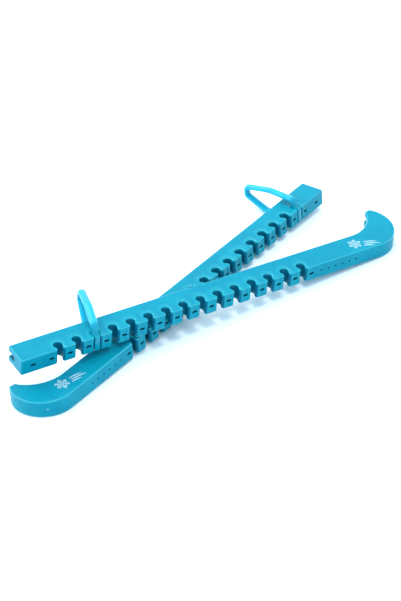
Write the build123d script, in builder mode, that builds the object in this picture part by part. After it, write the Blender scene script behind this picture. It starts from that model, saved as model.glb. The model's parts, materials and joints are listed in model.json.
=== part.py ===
"""A crossed pair of ice-skate blade guards, the upper one resting on the lower one.

Each guard is one soft moulding: a long bar with a blade channel in one long side,
a row of keyhole notches in the opposite, tread side, and a hook that wraps the toe
of a blade. One notch of each guard holds the foot of a rubber loop, which is pulled
over the skate's heel. Both guards come from one mould, and both loops from another,
so each is made once here, in its own frame, and then laid in its two places.
"""
import os
from math import acos, asin, cos, degrees, radians, sin, sqrt

from build123d import *

# ---- driving dimensions, in millimetres ----
notch_pitch = 15.5      # one tooth and one notch of the tread
guard_height = 20.8     # tread side to channel side
guard_width = 14.0      # across the blade
edge_round = 1.15       # rounding of the outer edges of the two flat sides
heel_end = -134.0       # the middle drain slot is at x = 0, the heel towards -X
heel_round = 1.3

channel_width = 5.0     # room for a 4 mm blade
channel_depth = 9.2
channel_floor_round = 1.6
channel_lip_round = 0.5

hook_start = 176.0      # where the channel side starts to curve up into the hook
hook_inner_radius = 30.8
hook_channel_radius = 32.0
sole_end = 192.0        # where the tread side starts to curve up
hook_reach = 25.7       # from there to the outermost point of the hook
hook_belly = 27.0       # height of that outermost point
hook_crown_radius = 24.0
tip_outer_height = 44.0
tip_inner_height = 43.0
tip_round = 1.3

bore_radius = 3.6       # round head of a keyhole notch
bore_height = 5.4       # its centre, above the tread
neck_width = 5.0        # slit from the head down to the tread
slit_mouth_round = 1.7  # where the slit opens on the tread
throat_round = 1.3      # where the slit opens into the head
notch_count = 15
first_notch = -6.5      # its place, in pitches

slot_count = 17         # drain slots along the middle of the tread
first_slot = -8.0       # its place, in pitches
slot_length = 4.2
slot_width = 1.9
slot_corner_round = 0.5
pin_hole_count = 6      # small round drain holes between the last slot and the hook
pin_hole_radius = 0.75
first_pin_hole = 133.8
pin_hole_pitch = 6.76

gate_mark_radius = 1.3  # round witness of the mould's gate, under the hook
gate_mark_depth = 0.25
gate_mark_angle = 44.0  # round the sole's curve, from its lowest point

cord_width = 6.4        # the loop's oval section, along the guard
cord_thickness = 4.2    # and across it
bead_gap = 0.1          # between the round of a loop's foot and its bore
web_width = 4.2         # strip of a loop's foot, from the bore down to the tread
leg_gap = 0.05          # between a leg's end and the guard's side
leg_clearance = 0.25    # between the lower leg and the guard's side
upper_leg_offset = 12.8  # middle of the upper leg, from the guard's middle plane
upper_leg_straight = 26.5  # from the bore's axis to where the upper leg bends down
lower_leg_straight = 28.5
loop_reach = 51.6       # from the bore's axis to the middle of the far end
loop_end_top = 6.9      # the far end's corners, from the guard's middle plane
loop_end_bottom = -1.1
upper_exit_round = 3.4
lower_exit_round = 2.3
shoulder_round = 40.0
loop_end_round = 3.3

# ---- how the pieces lie, in millimetres and degrees ----
lower_place = (41.85, 12.53, 10.05)
lower_heel_lift = 0.800  # the lower loop's leg lifts the heel off the ground
upper_place = (-39.68, -1.73, 22.0)
upper_heading = -20.64  # seen from above
upper_heel_lift = 4.345  # it lies on the lower guard, its toe on the ground
upper_roll = 6.0        # channel side up
lower_loop_notch = 0    # counted from the heel
lower_loop_lean = -4.3  # towards the toe
upper_loop_notch = 2
upper_loop_lean = 18.0

# ---- worked out ----
half_width = guard_width / 2
lower_leg_offset = half_width + leg_clearance + cord_thickness / 2
channel_floor = guard_height - channel_depth
toe_x = sole_end + hook_reach
crown_x = toe_x - hook_crown_radius
inner_centre = (hook_start, guard_height + hook_inner_radius)
channel_centre = (hook_start, channel_floor + hook_channel_radius)
notch_xs = [notch_pitch * (first_notch + i) for i in range(notch_count)]
slot_xs = [notch_pitch * (first_slot + i) for i in range(slot_count)]
pin_hole_xs = [first_pin_hole + pin_hole_pitch * i for i in range(pin_hole_count)]


# The gate mark lies on the sole's curve, a quarter of an ellipse, square to it.
gate_angle = radians(gate_mark_angle)
gate_plane = Plane(
    origin=(sole_end + hook_reach * sin(gate_angle), hook_belly * (1 - cos(gate_angle)), 0),
    z_dir=(hook_belly * sin(gate_angle), -hook_reach * cos(gate_angle), 0),
)


def near(value, target, within=0.05):
    return abs(value - target) < within


# ---- the mouldings, each in its own frame ----
# Guard: X from heel to toe, Y from the tread side to the channel side, Z across.

# The blade's room runs straight along the bar and then round inside the hook.
room_top = guard_height + 3
with BuildPart() as blade_room:
    with BuildSketch(Plane.YZ.offset(hook_start)) as room_section:
        with Locations((channel_floor, 0)):
            Rectangle(room_top - channel_floor, channel_width, align=(Align.MIN, Align.CENTER))
        fillet(room_section.vertices().group_by(Axis.X)[0], channel_floor_round)
    extrude(amount=heel_end - 10 - hook_start)
    revolve(room_section.sketch, Axis((*channel_centre, 0), (0, 0, 1)), revolution_arc=100)

with BuildPart() as guard_moulding:
    with BuildSketch() as side_view:
        with BuildLine():
            crown_turn = degrees(asin((tip_outer_height - hook_belly) / hook_crown_radius))
            inner_turn = degrees(
                acos((inner_centre[1] - tip_inner_height) / hook_inner_radius)
            )
            EllipticalCenterArc(
                (sole_end, hook_belly), hook_reach, hook_belly, start_angle=270, arc_size=90
            )
            crown = CenterArc((crown_x, hook_belly), hook_crown_radius, 0, crown_turn)
            inner_curve = CenterArc(inner_centre, hook_inner_radius, -90, inner_turn)
            Line(crown @ 1, inner_curve @ 1)
            Polyline(
                (sole_end, 0),
                (heel_end, 0),
                (heel_end, guard_height),
                (hook_start, guard_height),
            )
        make_face()
        fillet(side_view.vertices().group_by(Axis.X)[0], heel_round)
        tip_corners = side_view.vertices().filter_by(
            lambda v: v.Y > tip_inner_height - 0.1
        )
        fillet(tip_corners, tip_round)
        with Locations([(x, bore_height) for x in notch_xs]):
            Rectangle(neck_width, bore_height + 1, align=(Align.CENTER, Align.MAX), mode=Mode.SUBTRACT)
            Circle(bore_radius, mode=Mode.SUBTRACT)
        mouths = side_view.vertices().filter_by(
            lambda v: near(v.Y, 0) and notch_xs[0] - neck_width < v.X < notch_xs[-1] + neck_width
        )
        fillet(mouths, slit_mouth_round)
        throats = side_view.vertices().filter_by(
            lambda v: near(v.Y, bore_height - sqrt(bore_radius**2 - (neck_width / 2) ** 2))
        )
        fillet(throats, throat_round)
    extrude(amount=half_width, both=True)
    flat_sides = guard_moulding.faces().filter_by(Plane.XY)
    fillet(flat_sides.edges(), edge_round)
    add(blade_room.part, mode=Mode.SUBTRACT)
    with BuildSketch(Plane.XZ):
        with Locations([(x, 0) for x in slot_xs]):
            RectangleRounded(slot_length, slot_width, slot_corner_round)
        with Locations([(x, 0) for x in pin_hole_xs]):
            Circle(pin_hole_radius)
    extrude(amount=-channel_floor - channel_floor_round, mode=Mode.SUBTRACT)
    lip_edges = guard_moulding.edges().filter_by(
        lambda e: near(abs(e.center().Z), channel_width / 2) and near(e.center().Y, guard_height)
    )
    fillet(lip_edges, channel_lip_round)
    with BuildSketch(gate_plane):
        Circle(gate_mark_radius)
    extrude(amount=-gate_mark_depth, mode=Mode.SUBTRACT)

# Loop: Y along the loop from the notch's bore, Z along the bore.
with BuildPart() as foot_moulding:
    with BuildSketch():
        Circle(bore_radius - bead_gap)
        Rectangle(web_width, bore_height, align=(Align.CENTER, Align.MAX))
    extrude(amount=half_width, both=True)

with BuildPart() as hoop_moulding:
    with BuildLine() as hoop_path:
        leg_start = half_width + leg_gap
        upper_leg = [(0, 0, leg_start), (0, 0, upper_leg_offset)]
        upper_leg += [(0, upper_leg_straight, upper_leg_offset), (0, loop_reach, loop_end_top)]
        lower_leg = [(0, loop_reach, loop_end_bottom), (0, lower_leg_straight, -lower_leg_offset)]
        lower_leg += [(0, 0, -lower_leg_offset), (0, 0, -leg_start)]
        corner_rounds = [upper_exit_round, shoulder_round, loop_end_round]
        corner_rounds += [loop_end_round, shoulder_round, lower_exit_round]
        FilletPolyline(*upper_leg, *lower_leg, radius=corner_rounds)
    with BuildSketch(Plane(origin=(0, 0, leg_start), z_dir=(0, 0, 1))):
        Ellipse(cord_width / 2, cord_thickness / 2)
    sweep(path=hoop_path.line)


# ---- the pieces, laid in their places ----
def guard_location(place, heel_lift, roll, heading):
    return Location(place, (roll, heel_lift, heading), Extrinsic.XYZ)


def loop_location(guard, notch, lean, turn=0):
    return guard * Location((notch_xs[notch], bore_height, 0), (0, turn, -lean), Extrinsic.XYZ)


# The lower guard is turned over, with its toe towards -X.
lower = guard_location(lower_place, lower_heel_lift, 180, 180)
upper = guard_location(upper_place, upper_heel_lift, upper_roll, upper_heading)
lower_foot = loop_location(lower, lower_loop_notch, 0)
lower_hoop = loop_location(lower, lower_loop_notch, lower_loop_lean, turn=180)
upper_foot = loop_location(upper, upper_loop_notch, 0)
upper_hoop = loop_location(upper, upper_loop_notch, upper_loop_lean)

with BuildPart() as lower_guard:
    with Locations(lower):
        add(guard_moulding.part)
lower_guard.part.label = "lower_guard"

with BuildPart() as lower_loop_foot:
    with Locations(lower_foot):
        add(foot_moulding.part)
lower_loop_foot.part.label = "lower_loop_foot"

with BuildPart() as lower_loop_hoop:
    with Locations(lower_hoop):
        add(hoop_moulding.part)
lower_loop_hoop.part.label = "lower_loop_hoop"

with BuildPart() as upper_guard:
    with Locations(upper):
        add(guard_moulding.part)
upper_guard.part.label = "upper_guard"

with BuildPart() as upper_loop_foot:
    with Locations(upper_foot):
        add(foot_moulding.part)
upper_loop_foot.part.label = "upper_loop_foot"

with BuildPart() as upper_loop_hoop:
    with Locations(upper_hoop):
        add(hoop_moulding.part)
upper_loop_hoop.part.label = "upper_loop_hoop"

os.makedirs("parts", exist_ok=True)
export_step(lower_guard.part, "parts/lower_guard.step")
export_step(lower_loop_foot.part, "parts/lower_loop_foot.step")
export_step(lower_loop_hoop.part, "parts/lower_loop_hoop.step")
export_step(upper_guard.part, "parts/upper_guard.step")
export_step(upper_loop_foot.part, "parts/upper_loop_foot.step")
export_step(upper_loop_hoop.part, "parts/upper_loop_hoop.step")
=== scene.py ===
"""Looks for a crossed pair of skate blade guards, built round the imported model."""
import json
import math

import bmesh
import bpy
from mathutils import Matrix, Quaternion, Vector


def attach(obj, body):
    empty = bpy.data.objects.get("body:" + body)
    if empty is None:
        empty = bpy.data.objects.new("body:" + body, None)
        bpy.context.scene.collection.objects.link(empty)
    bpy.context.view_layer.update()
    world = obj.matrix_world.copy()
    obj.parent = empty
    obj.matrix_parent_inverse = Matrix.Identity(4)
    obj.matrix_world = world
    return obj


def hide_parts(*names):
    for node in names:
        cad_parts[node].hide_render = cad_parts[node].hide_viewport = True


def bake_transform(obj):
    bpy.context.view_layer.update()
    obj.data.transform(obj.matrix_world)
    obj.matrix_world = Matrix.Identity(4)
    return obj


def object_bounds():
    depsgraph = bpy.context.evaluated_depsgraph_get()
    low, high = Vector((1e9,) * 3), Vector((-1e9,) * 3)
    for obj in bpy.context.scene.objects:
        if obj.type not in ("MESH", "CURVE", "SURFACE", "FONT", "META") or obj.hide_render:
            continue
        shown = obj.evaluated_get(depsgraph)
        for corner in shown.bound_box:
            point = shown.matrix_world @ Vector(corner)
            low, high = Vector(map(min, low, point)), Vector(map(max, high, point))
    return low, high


MM = 0.001

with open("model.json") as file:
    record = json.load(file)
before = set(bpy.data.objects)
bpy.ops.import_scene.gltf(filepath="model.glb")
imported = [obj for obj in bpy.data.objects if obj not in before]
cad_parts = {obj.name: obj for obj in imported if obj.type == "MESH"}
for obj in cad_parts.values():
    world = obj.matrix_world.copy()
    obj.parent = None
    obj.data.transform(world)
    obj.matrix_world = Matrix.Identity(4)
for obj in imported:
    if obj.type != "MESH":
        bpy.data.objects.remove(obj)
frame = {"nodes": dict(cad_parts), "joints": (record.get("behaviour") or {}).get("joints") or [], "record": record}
cad_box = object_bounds()
record = frame["record"]

# ---- sizes of the guard, in millimetres; X from heel to toe, Y from the tread up, Z across ----
GUARD_HEIGHT = 20.8
HALF_WIDTH = 7.0
HEEL_X = -134.0
HOOK_START_X = 176.0
NOTCH_PITCH = 15.5
FIRST_NOTCH_X = -100.75
LAST_NOTCH_X = 116.25
BORE_RADIUS = 3.6
BORE_HEIGHT = 5.4
CHANNEL_FLOOR = 11.0
CHANNEL_HALF_WIDTH = 2.5
SLOT_HALF_LENGTH = 2.2
SLOT_HALF_WIDTH = 0.9
FIRST_HOLE_X = 133.8
HOLE_HALF_WIDTH = 0.78
GATE_X = 209.85
GATE_Y = 7.58
GATE_RADIUS = 1.3

# ---- sizes of the loop, in millimetres, from the hinge: out along the loop and across the guard ----
BEAD_RADIUS = 3.5
BEAD_END = 5.2
CORD_START = 9.0
BEND_REACH = 3.0
CORD_HALF_WIDTH = 3.2
CORD_HALF_THICKNESS = 2.1
CORD_SIDES = 64
WEB_HALF_WIDTH = 2.1
WEB_EDGE_ROUND = 1.1
WEB_SIDE_ROUND = 0.35
LONG_LEG_OFFSET = 12.8
LONG_LEG_STRAIGHT = 26.5
SHORT_LEG_OFFSET = 9.35
SHORT_LEG_STRAIGHT = 28.5
LOOP_REACH = 51.6
LOOP_END_TOP = 6.9
LOOP_END_BOTTOM = -1.1
LOOP_CORNER_RADII = (3.4, 40.0, 3.3, 3.3, 40.0, 2.3)
SHARP_ANGLE = 40.0

# each loop's lean towards the toe at rest, in degrees, and whether it is turned end for end
LOOPS = {"lower": (-4.3, True), "upper": (18.0, False)}

# ---- the print on the hook: its place on the flat side, its turn in degrees, and which side ----
PRINTS = {"upper": (171.5, 9.4, -21.0, 1), "lower": (187.0, 12.2, 197.0, -1)}
PRINT_LINE = 0.56
PRINT_LIFT = 0.11
PRINT_SINK = 0.02
FLAKE_RADIUS = 5.9
FLAKE_HUB = 0.5
FLAKE_BRANCHES = ((0.42, 2.1), (0.72, 1.5))
BRANCH_ANGLE = 55.0
DRIFT_LINES = ((7.6, 19.0, 0.6), (8.0, 21.5, 0.5), (7.2, 16.0, 0.4))
DRIFT_SPACING = 2.4
DRIFT_STEPS = 16

# ---- colours ----
GUARD_COLOUR = (0.0, 0.232, 0.318, 1)
GUARD_DEEP = (0.0, 0.202, 0.292, 1)
# paler tone for the random mottle, and painted highlight on the edges and round each notch
GUARD_PALE_AND_HIGHLIGHT = (0.002, 0.340, 0.405, 1)
# painted shade for the walls of the notches and, darker, for the hollows
NOTCH_PAINTED_SHADE = (0.0, 0.085, 0.165, 1)
HOLLOW_PAINTED_SHADE = (0.0, 0.010, 0.045, 1)
GATE_COLOUR = (0.10, 0.36, 0.42, 1)
LOOP_COLOUR = (0.0, 0.330, 0.470, 1)
LOOP_LIGHT = (0.0, 0.370, 0.510, 1)
LOOP_WEB = (0.0, 0.245, 0.345, 1)
GLOSS_TINT = (0.35, 0.85, 1.0, 1)
INK_COLOUR = (0.42, 0.55, 0.60, 1)
INK_WORN = (0.16, 0.38, 0.46, 1)
PAPER_DARK = (0.90, 0.91, 0.93, 1)
PAPER_LIGHT = (0.93, 0.94, 0.955, 1)
SKY_COLOUR = (0.66, 0.86, 1.0, 1)
SKY_STRENGTH = 1.75

# ---- camera: angles in degrees, lengths in metres, aimed from the middle of the CAD box ----
CAMERA_LENS = 120.46
CAMERA_HEADING = 39.55
CAMERA_DIP = 34.81
CAMERA_ROLL = -3.75
CAMERA_DISTANCE = 1.589
CAMERA_AIM = (0.0123, 0.0174)

# ---- lights: name, watts, size, place (to the left, away from the camera, up), colour ----
LIGHTS = (
    ("back_softbox", 11.0, (1.2, 1.0), (0.75, 0.9, 1.25), (1.0, 0.97, 0.88)),
    ("top_softbox", 6.0, (0.22, 0.22), (-0.12, -0.10, 1.5), (1.0, 0.98, 0.94)),
    ("left_strip", 4.0, (0.3, 0.9), (1.1, -0.15, 0.85), (1.0, 0.98, 0.94)),
)


# ---- where the guards lie, from the record ----
def joint(name):
    return next(j for j in frame["joints"] if j["name"] == name)


def mount(name):
    return next(m for m in record["mounts"] if m["name"] == name)


def guard_matrix(which):
    """Guard frame to row frame: X heel to toe, Y tread to channel, Z across, in millimetres."""
    channel = mount(which + "_blade_channel")
    up = Vector(channel["axis"]).normalized()
    across = Vector(joint(which + "_hoop_swing")["axis"]).normalized()
    along = up.cross(across)
    origin = Vector(channel["pos_m"]) - up * GUARD_HEIGHT * MM
    turn = Matrix((along * MM, up * MM, across * MM)).transposed().to_4x4()
    return Matrix.Translation(origin) @ turn


def loop_matrix(which, lean, turned):
    """Loop frame to row frame: X across the cord, Y along the loop, Z along the bore."""
    guard = guard_matrix(which)
    bore = Vector(joint(which + "_hoop_swing")["pos_m"])
    place = guard.copy()
    place.translation = bore
    turn = Matrix.Rotation(math.radians(-lean), 4, "Z")
    if turned:
        turn = turn @ Matrix.Rotation(math.pi, 4, "Y")
    return place @ turn


# ---- node helpers ----
class Nodes:
    """Short names for building one material."""

    def __init__(self, name):
        self.material = bpy.data.materials.new(name)
        self.material.use_nodes = True
        self.tree = self.material.node_tree
        self.shader = self.tree.nodes["Principled BSDF"]

    def new(self, kind, **settings):
        node = self.tree.nodes.new(kind)
        for key, value in settings.items():
            setattr(node, key, value)
        return node

    def link(self, source, target):
        if isinstance(source, (int, float)):
            target.default_value = source
        elif isinstance(source, (tuple, list, Vector)):
            target.default_value = tuple(source)
        else:
            self.tree.links.new(source, target)

    def math(self, operation, a, b=0.0):
        node = self.new("ShaderNodeMath", operation=operation)
        for socket, value in zip(node.inputs, (a, b)):
            self.link(value, socket)
        return node.outputs[0]

    def chain(self, operation, values):
        result = values[0]
        for value in values[1:]:
            result = self.math(operation, result, value)
        return result

    def product(self, *values):
        return self.chain("MULTIPLY", values)

    def total(self, *values):
        return self.chain("ADD", values)

    def square(self, value, centre=0.0):
        off = self.math("SUBTRACT", value, centre)
        return self.math("MULTIPLY", off, off)

    def dot(self, vector, axis):
        node = self.new("ShaderNodeVectorMath", operation="DOT_PRODUCT")
        self.link(vector, node.inputs[0])
        self.link(axis, node.inputs[1])
        return node.outputs["Value"]

    def combine(self, x, y, z):
        node = self.new("ShaderNodeCombineXYZ")
        for socket, value in zip(node.inputs, (x, y, z)):
            self.link(value, socket)
        return node.outputs[0]

    def noise(self, vector, scale, detail=2.0, roughness=0.5):
        node = self.new("ShaderNodeTexNoise")
        self.link(vector, node.inputs["Vector"])
        node.inputs["Scale"].default_value = scale
        node.inputs["Detail"].default_value = detail
        node.inputs["Roughness"].default_value = roughness
        return node.outputs["Fac"]

    def step(self, value, low, high, out_low=0.0, out_high=1.0):
        node = self.new("ShaderNodeMapRange", interpolation_type="SMOOTHSTEP")
        node.clamp = True
        for socket, number in zip(node.inputs, (value, low, high, out_low, out_high)):
            self.link(number, socket)
        return node.outputs[0]

    def fade(self, value, low, high):
        """The other way round from step: 1 below low and 0 above high."""
        return self.step(value, low, high, 1.0, 0.0)

    def mix(self, factor, a, b):
        node = self.new("ShaderNodeMix", data_type="RGBA")
        self.link(factor, node.inputs[0])
        self.link(a, node.inputs[6])
        self.link(b, node.inputs[7])
        return node.outputs[2]

    def bump(self, height, strength, distance):
        node = self.new("ShaderNodeBump")
        node.inputs["Strength"].default_value = strength
        node.inputs["Distance"].default_value = distance
        self.link(height, node.inputs["Height"])
        self.link(node.outputs[0], self.shader.inputs["Normal"])

    def set_values(self, **values):
        """Sets the shader's plain values, named with _ for each space."""
        for key, value in values.items():
            self.shader.inputs[key.replace("_", " ")].default_value = value
        return self.material

    def object_point(self):
        return self.new("ShaderNodeTexCoord").outputs["Object"]

    def object_normal(self):
        return self.new("ShaderNodeTexCoord").outputs["Normal"]


def guard_coordinates(n, place):
    """Sockets for a point's place in the guard's frame, in millimetres, and its normal there."""
    back = place.inverted()
    point, normal = n.object_point(), n.object_normal()
    spots, turns = [], []
    for row in range(3):
        axis = Vector(back[row][:3])
        spots.append(n.math("ADD", n.dot(point, axis), back[row][3]))
        turns.append(n.dot(normal, axis.normalized()))
    return spots, turns


def notch_reach(n, x, y):
    """How far a point is from the nearest notch, seen from the flat side."""
    pitches = n.math("DIVIDE", n.math("SUBTRACT", x, FIRST_NOTCH_X), NOTCH_PITCH)
    last = round((LAST_NOTCH_X - FIRST_NOTCH_X) / NOTCH_PITCH)
    nearest = n.math("MINIMUM", n.math("MAXIMUM", n.math("ROUND", pitches), 0.0), float(last))
    dx = n.product(n.math("SUBTRACT", pitches, nearest), NOTCH_PITCH)
    dy = n.math("MAXIMUM", n.math("SUBTRACT", y, BORE_HEIGHT), 0.0)
    return n.math("SQRT", n.total(n.square(dx), n.square(dy)))


def hollows(n, x, y, z):
    """Where the walls inside the drain slots, the small holes and the channel are, which are painted in shade."""
    off_middle = n.math("ABSOLUTE", z)
    pitches = n.math("DIVIDE", x, NOTCH_PITCH)
    slot_x = n.product(n.math("SUBTRACT", pitches, n.math("ROUND", pitches)), NOTCH_PITCH)
    in_slot = n.product(
        n.fade(off_middle, SLOT_HALF_WIDTH, SLOT_HALF_WIDTH + 0.15),
        n.step(y, 0.12, 0.5),
        n.fade(n.math("ABSOLUTE", slot_x), SLOT_HALF_LENGTH, SLOT_HALF_LENGTH + 0.3),
    )
    in_hole = n.product(
        n.fade(off_middle, HOLE_HALF_WIDTH, HOLE_HALF_WIDTH + 0.1),
        n.step(y, 0.12, 0.4),
        n.step(x, FIRST_HOLE_X - 1.5, FIRST_HOLE_X - 1.0),
    )
    in_channel = n.product(
        n.fade(off_middle, CHANNEL_HALF_WIDTH, CHANNEL_HALF_WIDTH + 0.1),
        n.step(y, CHANNEL_FLOOR, CHANNEL_FLOOR + 0.3),
        n.fade(y, GUARD_HEIGHT - 1.6, GUARD_HEIGHT - 0.4),
        n.step(x, HEEL_X + 0.1, HEEL_X + 1.5),
        0.55,
    )
    inside = n.chain("MAXIMUM", (in_slot, in_hole, in_channel))
    return n.product(inside, n.fade(x, HOOK_START_X - 4.0, HOOK_START_X))


def guard_material(which):
    """Soft matte vinyl: fine grain, a slight rise round each notch, glossier edges; painted highlight on the edges
    and round each notch, painted shade in the notches and hollows.
    """
    n = Nodes(which + "_guard_vinyl")
    (x, y, z), (_, _, across) = guard_coordinates(n, guard_matrix(which))
    spot = n.combine(x, y, z)
    reach = notch_reach(n, x, y)
    ring = n.fade(reach, BORE_RADIUS, BORE_RADIUS + 4.5)
    # the rounded edges of the two flat sides are where the normal leans away from across
    lean = n.math("ABSOLUTE", across)
    edge = n.product(n.step(lean, 0.10, 0.35), n.fade(lean, 0.86, 0.97))

    cloud = n.noise(spot, 0.05, 3.0, 0.55)
    mottle = n.noise(spot, 0.8, 4.0, 0.65)
    colour = n.mix(n.step(cloud, 0.35, 0.68), GUARD_DEEP, GUARD_COLOUR)
    colour = n.mix(n.step(mottle, 0.45, 0.75, 0.0, 0.24), colour, GUARD_PALE_AND_HIGHLIGHT)
    # painted highlight: the rounded edges are painted paler, standing in for the light they catch
    colour = n.mix(n.product(edge, 0.6), colour, GUARD_PALE_AND_HIGHLIGHT)
    # painted highlight: the slight rise round each notch is painted paler, standing in for the light it catches
    colour = n.mix(n.product(ring, 0.30), colour, GUARD_PALE_AND_HIGHLIGHT)
    # the vinyl is paler where it was cut from the mould's gate
    from_gate = n.math("SQRT", n.total(n.square(x, GATE_X), n.square(y, GATE_Y), n.square(z)))
    gate = n.fade(from_gate, GATE_RADIUS - 0.5, GATE_RADIUS + 0.1)
    colour = n.mix(n.product(gate, 0.8), colour, GATE_COLOUR)
    # painted shade: the walls of the notches are painted deeper where less light reaches them, and the other
    # hollows darker still
    notch_shade_mask = n.product(n.fade(n.math("ABSOLUTE", z), 4.6, 6.2), n.fade(reach, 3.7, 4.0))
    colour = n.mix(n.product(notch_shade_mask, 0.8), colour, NOTCH_PAINTED_SHADE)
    colour = n.mix(n.product(hollows(n, x, y, z), 0.94), colour, HOLLOW_PAINTED_SHADE)
    n.link(colour, n.shader.inputs["Base Color"])

    grain = n.noise(spot, 2.6, 3.0, 0.6)
    fine = n.noise(spot, 7.5, 2.0, 0.5)
    swell = n.noise(spot, 0.09, 2.0, 0.5)
    # faint tool marks run round the hook's outer side
    along_marks = n.combine(n.product(x, 0.02), n.product(y, 0.02), z)
    on_hook = n.step(x, HOOK_START_X - 6.0, HOOK_START_X + 4.0)
    marks = n.product(n.noise(along_marks, 1.9, 2.0, 0.7), on_hook, n.fade(lean, 0.2, 0.5))
    heights = ((grain, 0.09), (fine, 0.04), (marks, 0.22), (ring, 0.85), (swell, 0.5))
    n.bump(n.total(*(n.product(height, share) for height, share in heights)), 0.7, MM)
    n.link(n.step(grain, 0.3, 0.7, 0.40, 0.52), n.shader.inputs["Roughness"])
    n.link(n.total(n.product(edge, 0.85), 0.08), n.shader.inputs["Coat Weight"])
    return n.set_values(
        IOR=1.5,
        Specular_IOR_Level=0.12,
        Specular_Tint=GLOSS_TINT,
        Coat_Roughness=0.17,
        Subsurface_Weight=0.12,
        Subsurface_Radius=(0.3, 1.0, 1.4),
        Subsurface_Scale=1.2 * MM,
    )


def loop_material(which, foot_place):
    """Glossy, slightly translucent rubber with faint ripples left by the mould."""
    n = Nodes(which + "_loop_rubber")
    point = n.object_point()
    cloud = n.noise(point, 70.0, 2.0, 0.5)
    colour = n.mix(n.step(cloud, 0.3, 0.7), LOOP_COLOUR, LOOP_LIGHT)
    # the web is backed by the guard, so less light comes through it than through the cord
    back = foot_place.inverted()
    u = n.total(n.dot(point, Vector(back[1][:3])), back[1][3])
    colour = n.mix(n.step(u, 0.5, 4.5), LOOP_WEB, colour)
    n.link(colour, n.shader.inputs["Base Color"])
    n.bump(n.noise(point, 260.0, 2.0, 0.5), 0.35, 0.15 * MM)
    n.link(n.step(n.noise(point, 400.0, 2.0), 0.3, 0.7, 0.16, 0.26), n.shader.inputs["Roughness"])
    return n.set_values(
        IOR=1.5,
        Specular_IOR_Level=0.15,
        Specular_Tint=GLOSS_TINT,
        Coat_Weight=0.35,
        Coat_Roughness=0.08,
        Subsurface_Weight=0.35,
        Subsurface_Radius=(0.4, 1.6, 2.2),
        Subsurface_Scale=2.0 * MM,
    )


def print_material():
    """White pad-printing ink, a little worn so that the vinyl shows through."""
    n = Nodes("white_print")
    wear = n.noise(n.object_point(), 1500.0, 3.0, 0.7)
    n.link(n.mix(n.step(wear, 0.52, 0.72), INK_COLOUR, INK_WORN), n.shader.inputs["Base Color"])
    n.link(n.step(wear, 0.3, 0.7, 0.45, 0.65), n.shader.inputs["Roughness"])
    n.bump(wear, 0.2, 0.05 * MM)
    return n.material


# ---- meshes ----
def mesh_object(name, bm, material, smooth_shading=True):
    bmesh.ops.recalc_face_normals(bm, faces=bm.faces)
    mesh = bpy.data.meshes.new(name)
    bm.to_mesh(mesh)
    bm.free()
    obj = bpy.data.objects.new(name, mesh)
    bpy.context.scene.collection.objects.link(obj)
    mesh.materials.append(material)
    mesh.polygons.foreach_set("use_smooth", [smooth_shading] * len(mesh.polygons))
    return obj


def apply_modifiers(obj):
    graph = bpy.context.evaluated_depsgraph_get()
    mesh = bpy.data.meshes.new_from_object(obj.evaluated_get(graph))
    old = obj.data
    obj.modifiers.clear()
    obj.data = mesh
    bpy.data.meshes.remove(old)
    mesh.name = obj.name


def rounded_path(corners, radii, per_arc=24, step=0.5):
    """Points of a polyline in the loop's plane with its corners rounded, closed through the first."""
    points = [Vector(corners[0])]
    for i in range(1, len(corners) - 1):
        here = Vector(corners[i])
        to_last = (Vector(corners[i - 1]) - here).normalized()
        to_next = (Vector(corners[i + 1]) - here).normalized()
        half = to_last.angle(to_next) / 2
        radius = radii[i - 1]
        reach = radius / math.tan(half)
        centre = here + (to_last + to_next).normalized() * radius / math.sin(half)
        first, last = here + to_last * reach - centre, here + to_next * reach - centre
        sweep = first.angle(last)
        for k in range(per_arc + 1):
            share = k / per_arc
            a = math.sin((1 - share) * sweep) / math.sin(sweep)
            b = math.sin(share * sweep) / math.sin(sweep)
            points.append(centre + first * a + last * b)
    points.append(Vector(corners[-1]))
    even = []
    for a, b in zip(points, points[1:]):
        count = max(1, round((b - a).length / step))
        even += [a.lerp(b, k / count) for k in range(count)]
    return even


def smooth(share):
    """Eases a share of the way from 0 to 1, and holds it between them."""
    share = max(0.0, min(1.0, share))
    return share * share * (3 - 2 * share)


def tube(bm, rings):
    """Faces between rings of corners, closed from the last ring to the first."""
    for a, b in zip(rings, rings[1:] + rings[:1]):
        for k in range(len(a)):
            after = (k + 1) % len(a)
            bm.faces.new((a[k], a[after], b[after], b[k]))


def cord_mesh(name, place, material):
    """The cord runs out of the bore, round the hoop and back in."""
    path = rounded_path((
        (0, 0),
        (0, LONG_LEG_OFFSET),
        (LONG_LEG_STRAIGHT, LONG_LEG_OFFSET),
        (LOOP_REACH, LOOP_END_TOP),
        (LOOP_REACH, LOOP_END_BOTTOM),
        (SHORT_LEG_STRAIGHT, -SHORT_LEG_OFFSET),
        (0, -SHORT_LEG_OFFSET),
        (0, 0),
    ), LOOP_CORNER_RADII)
    bm = bmesh.new()
    rings = []
    for i, (u, w) in enumerate(path):
        ahead = path[(i + 1) % len(path)] - path[i - 1]
        ahead.normalize()
        side = Vector((-ahead.y, ahead.x))
        # a round bead in the bore turns into the oval cord as it comes out
        out = 1.0 if u > BEND_REACH else smooth((abs(w) - BEAD_END) / (CORD_START - BEAD_END))
        half_wide = BEAD_RADIUS + (CORD_HALF_WIDTH - BEAD_RADIUS) * out
        half_thick = BEAD_RADIUS + (CORD_HALF_THICKNESS - BEAD_RADIUS) * out
        ring = []
        for k in range(CORD_SIDES):
            turn = 2 * math.pi * k / CORD_SIDES
            off = side * math.sin(turn) * half_thick
            corner = Vector((math.cos(turn) * half_wide, u + off.x, w + off.y))
            ring.append(bm.verts.new(place @ corner))
        rings.append(ring)
    tube(bm, rings)
    return mesh_object(name, bm, material)


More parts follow.
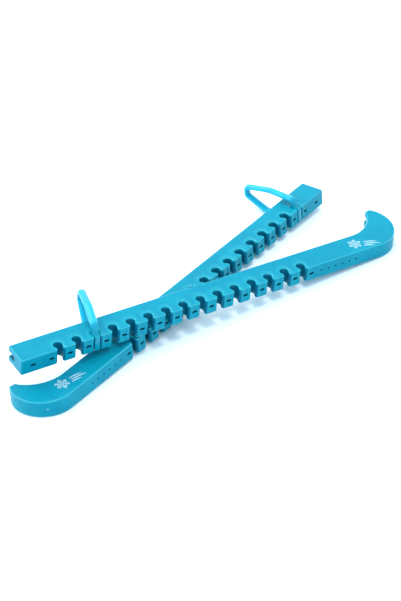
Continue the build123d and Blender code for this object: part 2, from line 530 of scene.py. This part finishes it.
def web_mesh(name, place, material):
    """The web reaches from the bead down to the tread, rounded where it meets the tread."""
    bm = bmesh.new()
    low = Vector((-WEB_HALF_WIDTH, -BORE_HEIGHT, -HALF_WIDTH))
    high = Vector((WEB_HALF_WIDTH, 0.0, HALF_WIDTH))
    bmesh.ops.create_cube(bm, size=1.0)
    for v in bm.verts:
        v.co = Vector([low[i] if v.co[i] < 0 else high[i] for i in range(3)])
    tread_edges = []
    for edge in bm.edges:
        a, b = (v.co for v in edge.verts)
        if a.y < -1 and b.y < -1 and abs(a.z - b.z) < 1:
            tread_edges.append(edge)
    bmesh.ops.bevel(
        bm, geom=tread_edges, offset=WEB_EDGE_ROUND, segments=5, affect="EDGES", profile=0.5
    )
    bm.transform(place)
    web = mesh_object(name, bm, material)
    soften = web.modifiers.new("soften", "BEVEL")
    soften.width = WEB_SIDE_ROUND * MM
    soften.segments = 3
    soften.limit_method = "ANGLE"
    soften.angle_limit = math.radians(60)
    return web


def loop_mesh(name, place, foot_place, material):
    """One piece: the cord, and the web that joins it to the tread."""
    cord = cord_mesh(name, place, material)
    web = web_mesh(name + "_web", foot_place, material)
    join = cord.modifiers.new("join", "BOOLEAN")
    join.operation = "UNION"
    join.solver = "EXACT"
    join.object = web
    join.use_self = True
    bpy.context.view_layer.update()
    apply_modifiers(cord)
    cord.data.polygons.foreach_set("use_smooth", [True] * len(cord.data.polygons))
    cord.data.set_sharp_from_angle(angle=math.radians(SHARP_ANGLE))
    bpy.data.objects.remove(web)
    return cord


def make_loop(which, lean, turned):
    """The loop's cord bends over its first few millimetres out of the notch."""
    place = loop_matrix(which, lean, turned)
    foot_place = loop_matrix(which, 0.0, turned)
    obj = loop_mesh(which + "_loop", place, foot_place, loop_material(which, foot_place))
    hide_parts(which + "_loop_foot", which + "_loop_hoop")
    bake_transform(obj)


def stroke(bm, points, widths, place):
    """A thin raised strip along points on the flat side, as wide as widths says at each."""
    rings = []
    for i, here in enumerate(points):
        ahead = points[min(i + 1, len(points) - 1)] - points[max(i - 1, 0)]
        off = Vector((-ahead.y, ahead.x)).normalized() * widths[i] / 2
        left, right = here - off, here + off
        ring = []
        for edge, height in ((left, 0.0), (right, 0.0), (right, PRINT_LIFT), (left, PRINT_LIFT)):
            ring.append(bm.verts.new(place @ Vector((edge.x, edge.y, height))))
        rings.append(ring)
    for a, b in zip(rings, rings[1:]):
        for k in range(4):
            bm.faces.new((a[k], a[(k + 1) % 4], b[(k + 1) % 4], b[k]))
    bm.faces.new(rings[0][::-1])
    bm.faces.new(rings[-1])


def snowflake(bm, place):
    """Six arms, each with two pairs of branches."""
    widths = [PRINT_LINE] * 2
    for arm in range(6):
        angle = math.radians(60 * arm + 30)
        out = Vector((math.cos(angle), math.sin(angle)))
        stroke(bm, [out * FLAKE_HUB, out * FLAKE_RADIUS], widths, place)
        for share, length in FLAKE_BRANCHES:
            root = out * FLAKE_RADIUS * share
            for lean in (-1, 1):
                branch = Matrix.Rotation(math.radians(BRANCH_ANGLE * lean), 2) @ out
                stroke(bm, [root, root + branch * length], widths, place)


def drift_lines(bm, place):
    """Plain bowed lines beside the flake, thin at both ends."""
    for row, (begin, end, bow) in enumerate(DRIFT_LINES):
        line, widths = [], []
        for k in range(DRIFT_STEPS + 1):
            share = k / DRIFT_STEPS
            x = begin + (end - begin) * share
            y = DRIFT_SPACING * (1 - row) + bow * math.sin(math.pi * share)
            line.append(Vector((x, y)))
            swell = math.sin(math.pi * min(1.0, share * 1.05 + 0.02))
            widths.append(0.25 + 0.75 * swell ** 0.6)
        stroke(bm, line, widths, place)


def snowflake_print(which, x, y, turn, side, material):
    """A six-branched flake with three drift lines beside it, printed on the seen flat side."""
    flip = Matrix.Identity(4) if side > 0 else Matrix.Rotation(math.pi, 4, "X")
    where = Matrix.Translation((x, y, side * (HALF_WIDTH - PRINT_SINK)))
    turned = Matrix.Rotation(math.radians(turn), 4, "Z") @ flip
    place = guard_matrix(which) @ where @ turned
    bm = bmesh.new()
    snowflake(bm, place)
    drift_lines(bm, place)
    obj = mesh_object(which + "_snowflake_print", bm, material, smooth_shading=False)
    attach(obj, which)


# ---- camera, light and floor ----
def aim(obj, place, towards, roll=0.0):
    """Puts a camera or a light at place, looking towards, turned about its view by roll."""
    bpy.context.scene.collection.objects.link(obj)
    obj.location = place
    obj.rotation_mode = "QUATERNION"
    obj.rotation_quaternion = towards.to_track_quat("-Z", "Y") @ Quaternion((0, 0, 1), roll)


def make_camera():
    """Returns the level direction that the camera looks in."""
    data = bpy.data.cameras.new("camera")
    data.sensor_width = 36.0
    data.lens = CAMERA_LENS
    data.clip_start = 0.1
    data.clip_end = 20.0
    heading, dip = math.radians(CAMERA_HEADING), math.radians(CAMERA_DIP)
    level = Vector((math.cos(heading), math.sin(heading), 0))
    forward = level * math.cos(dip) - Vector((0, 0, math.sin(dip)))
    centre = (cad_box[0] + cad_box[1]) / 2
    target = Vector((centre.x + CAMERA_AIM[0], centre.y + CAMERA_AIM[1], 0))
    camera = bpy.data.objects.new("camera", data)
    aim(camera, target - forward * CAMERA_DISTANCE, forward, math.radians(CAMERA_ROLL))
    bpy.context.scene.camera = camera
    return level


def area_light(name, power, size, place, colour):
    data = bpy.data.lights.new(name, "AREA")
    data.shape = "RECTANGLE"
    data.size, data.size_y = size
    data.energy = power
    data.color = colour
    aim(bpy.data.objects.new(name, data), place, -place)


def make_light(level):
    world = bpy.data.worlds.new("studio")
    bpy.context.scene.world = world
    world.use_nodes = True
    background = world.node_tree.nodes["Background"]
    background.inputs["Color"].default_value = SKY_COLOUR
    background.inputs["Strength"].default_value = SKY_STRENGTH
    left = Vector((-level.y, level.x, 0))
    for name, power, size, (sideways, away, up), colour in LIGHTS:
        place = left * sideways + level * away + Vector((0, 0, up))
        area_light(name, power, size, place, colour)
    bpy.context.scene.view_settings.view_transform = "Standard"


def make_floor():
    bm = bmesh.new()
    bmesh.ops.create_grid(bm, x_segments=1, y_segments=1, size=6.0)
    n = Nodes("floor_paper")
    tooth = n.noise(n.object_point(), 900.0, 3.0, 0.6)
    n.link(n.mix(tooth, PAPER_DARK, PAPER_LIGHT), n.shader.inputs["Base Color"])
    paper = n.set_values(Roughness=0.9, Specular_IOR_Level=0.1)
    floor = mesh_object("floor", bm, paper)


view_level = make_camera()
make_floor()
make_light(view_level)
for guard in ("lower", "upper"):
    slots = frame["nodes"][guard + "_guard"].data.materials
    slots.clear()
    slots.append(guard_material(guard))
for guard, (rest_lean, end_for_end) in LOOPS.items():
    make_loop(guard, rest_lean, end_for_end)
ink = print_material()
for guard, where_printed in PRINTS.items():
    snowflake_print(guard, *where_printed, ink)
